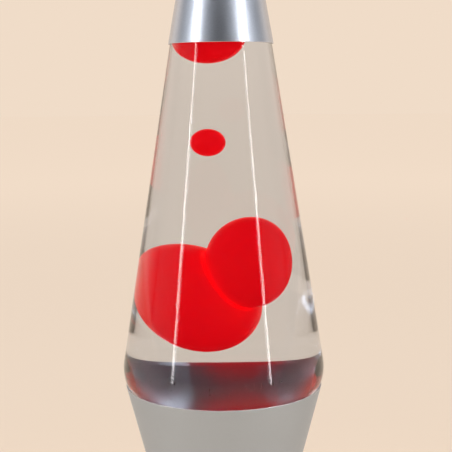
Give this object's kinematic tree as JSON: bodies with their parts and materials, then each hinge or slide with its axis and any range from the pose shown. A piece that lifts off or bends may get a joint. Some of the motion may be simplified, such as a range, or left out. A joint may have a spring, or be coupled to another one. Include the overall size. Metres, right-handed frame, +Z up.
{
  "type": "lava lamp",
  "caption": "Conical lava lamp: hourglass spun-metal base, sealed tapered glass bottle of clear liquid with red wax blobs, tapered metal cap, bulb and lampholder inside.",
  "frame": {"origin": "centre of the lamp on the surface it stands on, under its four rubber pads", "axes": "+Z up along the lamp's centre line; the cord's grommet is at the back, towards +Y"},
  "size_m": [0.093, 0.093, 0.368],
  "materials": {
    "cap_metal": "satin, fine metallic flake",
    "base_metal": "even matte silver",
    "glass": "clear, smooth",
    "bulb_glass": "clear, smooth, thin",
    "liquid": "clear water-like liquid",
    "wax": "opaque saturated red wax with a glossy skin",
    "steel": "plated steel",
    "brass": "plain brass",
    "phenolic": "black moulded phenolic",
    "plastic": "black moulded plastic",
    "rubber": "matte black rubber",
    "tungsten": "grey wire",
    "seal": "off-white sealing compound"
  },
  "bodies": {
    "base": {"base_upper_cone": "base_metal", "base_lower_cone": "base_metal", "cord_grommet": "rubber", "bottom_plate": "plastic", "plate_ring": "steel", "plate_screw_1": "steel", "plate_screw_2": "steel", "plate_screw_3": "steel", "foot_pad_1": "rubber", "foot_pad_2": "rubber", "foot_pad_3": "rubber", "foot_pad_4": "rubber", "lampholder_body": "phenolic", "lampholder_ring_nut": "phenolic", "lampholder_screw_shell": "brass", "lampholder_centre_contact": "brass", "terminal_screw_live": "brass", "terminal_screw_neutral": "brass", "lampholder_cover": "phenolic"},
    "bulb": {"bulb_envelope": "bulb_glass", "bulb_screw_cap": "brass", "bulb_insulator": "phenolic", "bulb_tip_contact": "steel", "bulb_stem": "bulb_glass", "bulb_filament": "tungsten"},
    "bottle": {"bottle": "glass", "liquid": "liquid", "heat_coil": "steel", "crown_closure": "steel", "crown_liner": "seal"},
    "cap": {"cap_shell": "cap_metal"},
    "pool": {"wax_pool": "wax"},
    "ball": {"wax_ball": "wax"},
    "bead": {"wax_bead": "wax"},
    "crown": {"wax_crown": "wax"}
  },
  "joints": [
    {"name": "bottle_lift", "type": "slide", "parent": "base", "child": "bottle", "axis": [0, 0, 1], "range_m": [0, 0.03]},
    {"name": "cap_lift", "type": "slide", "parent": "bottle", "child": "cap", "axis": [0, 0, 1], "range_m": [0, 0.035]},
    {"name": "bulb_unscrew", "type": "hinge", "parent": "base", "child": "bulb", "pos_m": [0, 0, 0.07], "axis": [0, 0, 1], "range_deg": [0, 1080]},
    {"name": "pool_sink", "type": "slide", "parent": "bottle", "child": "pool", "axis": [0, 0, 1], "range_m": [-0.02, 0], "deforming": ["liquid"]},
    {"name": "ball_rise", "type": "slide", "parent": "bottle", "child": "ball", "axis": [-0.093, 0.1296, 0.9872], "range_m": [0, 0.013], "deforming": ["liquid"]},
    {"name": "bead_drift", "type": "slide", "parent": "bottle", "child": "bead", "axis": [0, 0, 1], "range_m": [-0.01, 0.012], "deforming": ["liquid"]},
    {"name": "crown_sink", "type": "slide", "parent": "bottle", "child": "crown", "axis": [0, 0, 1], "range_m": [-0.012, 0], "deforming": ["liquid"]}
  ]
}
